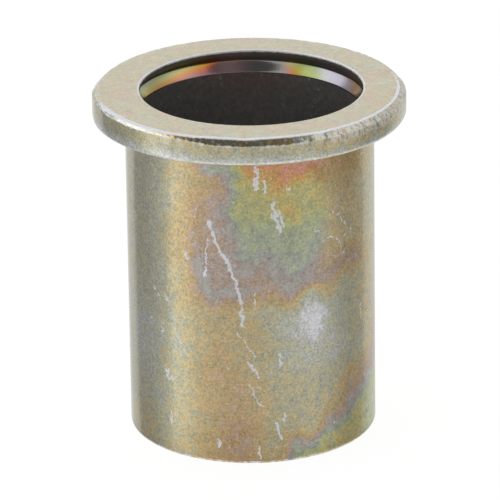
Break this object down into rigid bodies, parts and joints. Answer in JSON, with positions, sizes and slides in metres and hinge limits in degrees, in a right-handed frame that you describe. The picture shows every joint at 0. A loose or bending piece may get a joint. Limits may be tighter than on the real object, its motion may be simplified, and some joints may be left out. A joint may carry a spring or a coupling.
{
  "type": "rivet nut",
  "caption": "Open-end blind rivet nut with a smooth round body, a flat round flange and a thin-walled chamber above a threaded end, in iridescent yellow zinc finish.",
  "frame": {"origin": "centre of the tail end, on the surface that the nut stands on", "axes": "+Z along the nut's axis from the tail end to the flange; X and Y are free, as the form is round"},
  "size_m": [0.02, 0.02, 0.0227],
  "materials": {
    "plated_steel": "steel with iridescent yellow zinc passivate, worn and scuffed"
  },
  "bodies": {
    "root": {"rivet_nut": "plated_steel"}
  },
  "joints": []
}
